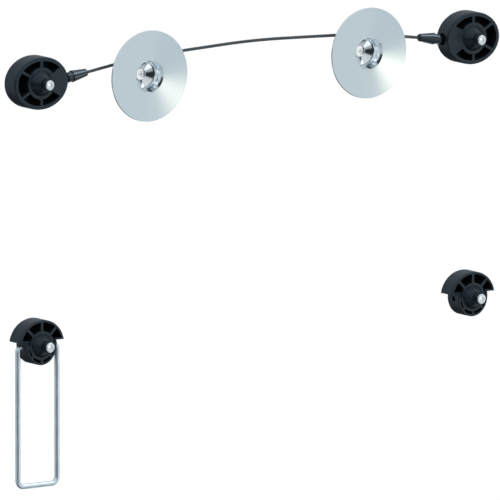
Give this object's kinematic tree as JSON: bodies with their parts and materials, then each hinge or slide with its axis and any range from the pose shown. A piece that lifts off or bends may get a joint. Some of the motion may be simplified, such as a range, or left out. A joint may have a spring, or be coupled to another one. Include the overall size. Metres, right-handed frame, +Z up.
{
  "type": "cable hung television wall mount",
  "caption": "Slim wall mount for a flat television: steel rope over coned steel wall wheels, oval ribbed end mounts, hooded bottom spacers and a wire kickstand.",
  "frame": {"origin": "centre of the 400 x 200 mm television screw pattern, on the plane of the four housings' front faces", "axes": "+X to the right when facing the wall, +Y towards the wall (the wall's face is at y = 0.015), +Z up"},
  "size_m": [0.4492, 0.0575, 0.3414],
  "materials": {
    "black_plastic": "moulded, slightly blue black, matte",
    "boot_plastic": "smooth black, semi-gloss",
    "rubber": "soft, matte",
    "washer_plastic": "plain moulded",
    "disc_steel": "fine satin, turned",
    "spool_steel": "turned, bright",
    "bush_steel": "turned, bright",
    "spacer_plastic": "smooth moulded black",
    "zinc_screw": "bright zinc",
    "wire_rope": "stranded steel rope",
    "loop_steel": "satin drawn wire"
  },
  "bodies": {
    "wall_side": {"left_bush": "bush_steel", "left_washer": "washer_plastic", "left_wall_screw": "zinc_screw", "right_bush": "bush_steel", "right_washer": "washer_plastic", "right_wall_screw": "zinc_screw"},
    "left_wheel": {"left_guard_disc": "disc_steel", "left_spool": "spool_steel"},
    "right_wheel": {"right_guard_disc": "disc_steel", "right_spool": "spool_steel"},
    "hung_cable": {"cable": "wire_rope", "left_end_stop": "bush_steel", "left_gland": "boot_plastic", "left_boot": "boot_plastic", "right_end_stop": "bush_steel", "right_gland": "boot_plastic", "right_boot": "boot_plastic"},
    "television_side": {"left_top_housing": "black_plastic", "left_top_spacer": "spacer_plastic", "left_top_screw": "zinc_screw", "left_top_pad": "rubber", "left_bottom_housing": "black_plastic", "left_bottom_spacer": "spacer_plastic", "left_bottom_screw": "zinc_screw", "left_bottom_pad": "rubber", "right_top_housing": "black_plastic", "right_top_spacer": "spacer_plastic", "right_top_screw": "zinc_screw", "right_top_pad": "rubber", "right_bottom_housing": "black_plastic", "right_bottom_spacer": "spacer_plastic", "right_bottom_screw": "zinc_screw", "right_bottom_pad": "rubber"},
    "kickstand": {"kickstand_loop": "loop_steel"}
  },
  "joints": [
    {"name": "left_wheel_turn", "type": "hinge", "parent": "wall_side", "child": "left_wheel", "pos_m": [-0.1016, 0.0075, 0.0972], "axis": [0, 1, 0], "continuous": true},
    {"name": "right_wheel_turn", "type": "hinge", "parent": "wall_side", "child": "right_wheel", "pos_m": [0.1016, 0.0075, 0.0972], "axis": [0, 1, 0], "continuous": true},
    {"name": "lift_off", "type": "slide", "parent": "wall_side", "child": "hung_cable", "axis": [0, 0, 1], "range_m": [0, 0.03]},
    {"name": "swing_out", "type": "hinge", "parent": "hung_cable", "child": "television_side", "pos_m": [0, 0.0075, 0.0991], "axis": [-1, 0, 0], "range_deg": [0, 30]},
    {"name": "kickstand_swing", "type": "hinge", "parent": "television_side", "child": "kickstand", "pos_m": [-0.2, 0.0064, -0.101], "axis": [1, 0, 0], "range_deg": [0, 95]}
  ]
}
